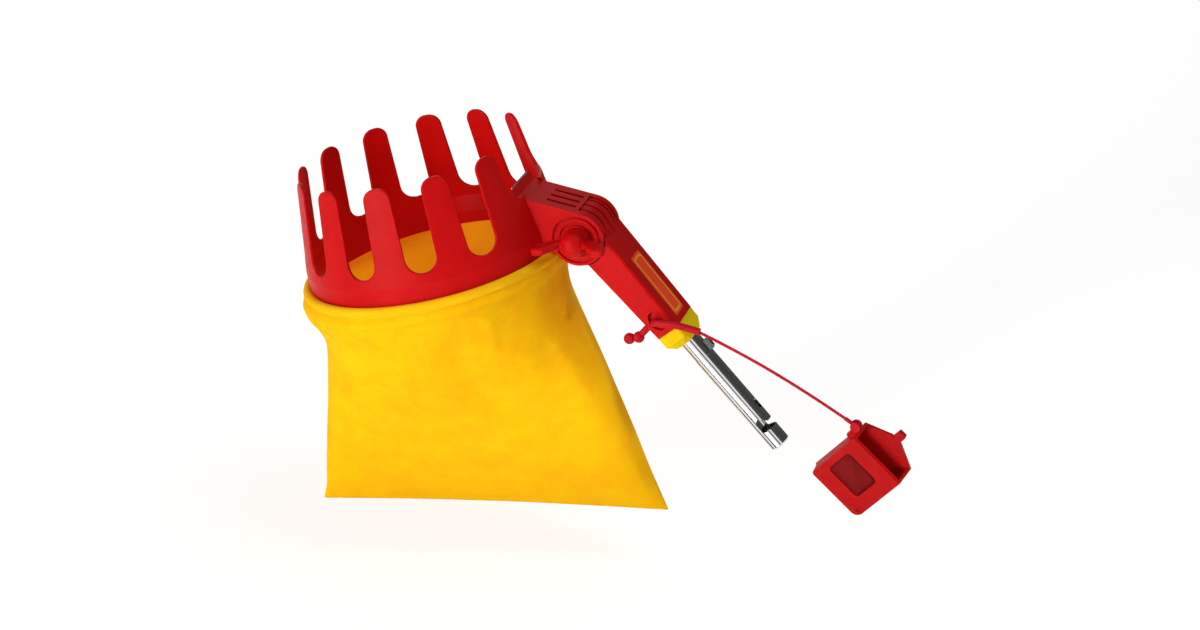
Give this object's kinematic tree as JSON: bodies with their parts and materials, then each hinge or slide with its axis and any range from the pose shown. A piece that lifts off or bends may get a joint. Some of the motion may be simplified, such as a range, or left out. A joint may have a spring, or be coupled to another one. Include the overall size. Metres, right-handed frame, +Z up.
{
  "type": "fruit picker head",
  "caption": "Fruit picker head: a crown of rounded fingers with a cloth bag and cutting blade, tilting on a clamped hinge, with a plug-in tang and a tethered blade guard.",
  "frame": {"origin": "on the tang's axis where its 16 mm seat for the pole begins", "axes": "+X horizontal from the crown to the pole's side, +Y along the hinge's axis away from the wing knob, +Z up, with the head held at the angle of the picture"},
  "size_m": [0.4786, 0.2074, 0.3035],
  "materials": {
    "red_plastic": "satin moulded",
    "tether_red": "soft moulded",
    "yellow_plastic": "satin moulded",
    "plate_red": "satin",
    "bag_cotton": "woven",
    "cord_cotton": "twisted",
    "chromed_steel": "bright",
    "zinc_steel": "plated",
    "blade_steel": "ground",
    "fibre_disc": "matt"
  },
  "bodies": {
    "arm": {"arm": "red_plastic", "top_plate": "plate_red", "end_collar": "yellow_plastic", "tang": "chromed_steel", "tang_pin": "zinc_steel", "tang_key": "zinc_steel", "tether_plug": "tether_red", "tether_strand": "tether_red", "tether_button": "tether_red"},
    "head": {"crown": "red_plastic", "bag": "bag_cotton", "bag_hem": "bag_cotton", "hem_cord": "cord_cotton", "blade": "blade_steel", "blade_screw": "zinc_steel", "pivot_bolt": "zinc_steel", "bolt_washer": "zinc_steel", "friction_disc": "fibre_disc"},
    "knob": {"wing_knob": "red_plastic", "knob_nut": "zinc_steel"},
    "guard": {"guard": "red_plastic", "guard_back": "red_plastic"}
  },
  "joints": [
    {"name": "head_tilt", "type": "hinge", "parent": "arm", "child": "head", "pos_m": [-0.09499, 0, 0.08643], "axis": [0, 1, 0], "range_deg": [-15, 60]},
    {"name": "knob_turn", "type": "hinge", "parent": "head", "child": "knob", "pos_m": [-0.09499, 0, 0.08643], "axis": [0, -1, 0], "range_deg": [0, 360]},
    {"name": "guard_swing", "type": "hinge", "parent": "arm", "child": "guard", "pos_m": [0.12152, -0.0275, -0.02234], "axis": [0, 1, 0], "range_deg": [-40, 40]}
  ]
}
